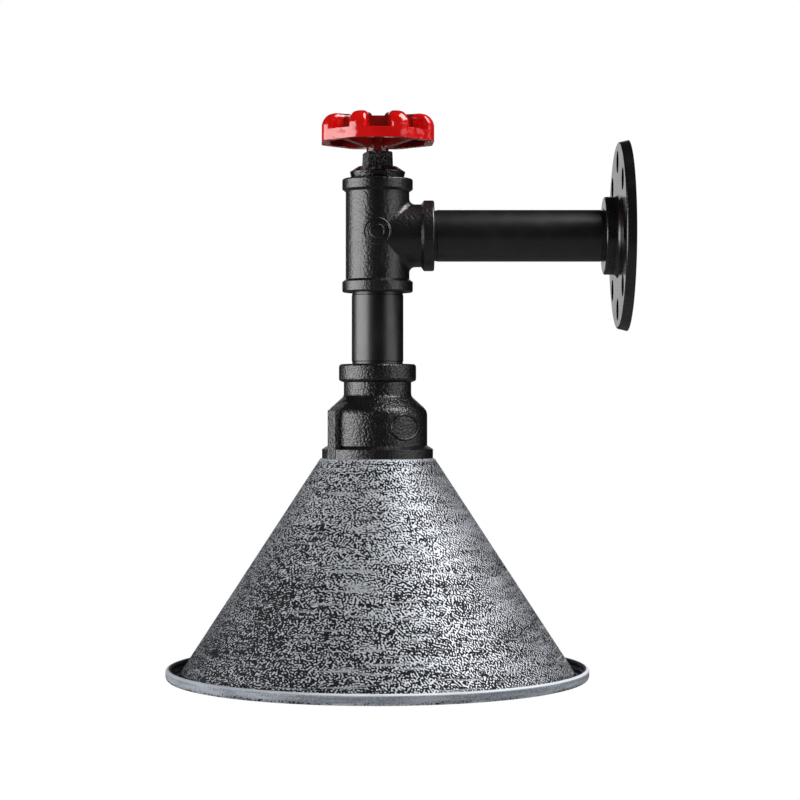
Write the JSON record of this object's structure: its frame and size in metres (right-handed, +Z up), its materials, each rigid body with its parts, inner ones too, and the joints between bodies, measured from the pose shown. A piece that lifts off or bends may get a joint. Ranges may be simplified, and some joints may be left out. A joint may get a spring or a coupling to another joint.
{
  "type": "wall lamp",
  "caption": "Wall lamp of black water-pipe fittings with a red valve handwheel on top and a conical metal shade that opens downwards.",
  "frame": {"origin": "centre of the wall flange's back face, in the wall plane", "axes": "+Y into the wall, square to the flange's back face; +Z up along the drop pipe; +X completes the right hand"},
  "size_m": [0.2198, 0.2399, 0.2925],
  "materials": {
    "flange_iron": "satin black paint over a cast skin",
    "fitting_iron": "satin black paint over a coarse cast skin",
    "pipe_steel": "satin black paint on drawn pipe",
    "plug_iron": "rough black cast skin",
    "wheel_red": "glossy red enamel",
    "zinc_steel": "zinc plated",
    "brass": "bright",
    "shade_finish": "black wrinkle paint brushed with silver",
    "ceramic": "unglazed white steatite",
    "phenolic": "black moulded phenolic",
    "wire_brown": "brown insulation",
    "wire_blue": "blue insulation",
    "wire_green": "green and yellow insulation"
  },
  "bodies": {
    "lamp_body": {"wall_flange": "flange_iron", "arm_pipe": "pipe_steel", "tee": "fitting_iron", "top_plug": "plug_iron", "handwheel_washer": "zinc_steel", "handwheel_screw": "zinc_steel", "drop_pipe": "pipe_steel", "reducing_socket": "fitting_iron", "holder_bush": "zinc_steel", "earth_tag": "zinc_steel", "lock_washer": "zinc_steel", "nipple_nut": "zinc_steel", "holder_nipple": "zinc_steel", "holder_cap": "phenolic", "cap_lock_screw": "zinc_steel", "holder_core": "ceramic", "live_terminal": "brass", "neutral_terminal": "brass", "terminal_screws": "zinc_steel", "contact_rivets": "brass", "centre_contact": "brass", "screw_shell": "brass", "holder_shell": "phenolic", "shade_ring": "phenolic", "shade": "shade_finish", "live_wire": "wire_brown", "neutral_wire": "wire_blue", "earth_wire": "wire_green", "wire_ferrules": "zinc_steel"},
    "valve_wheel": {"handwheel": "wheel_red"}
  },
  "joints": [
    {"name": "wheel_turn", "type": "hinge", "parent": "lamp_body", "child": "valve_wheel", "pos_m": [0, -0.13, 0.048], "axis": [0, 0, 1], "continuous": true}
  ]
}
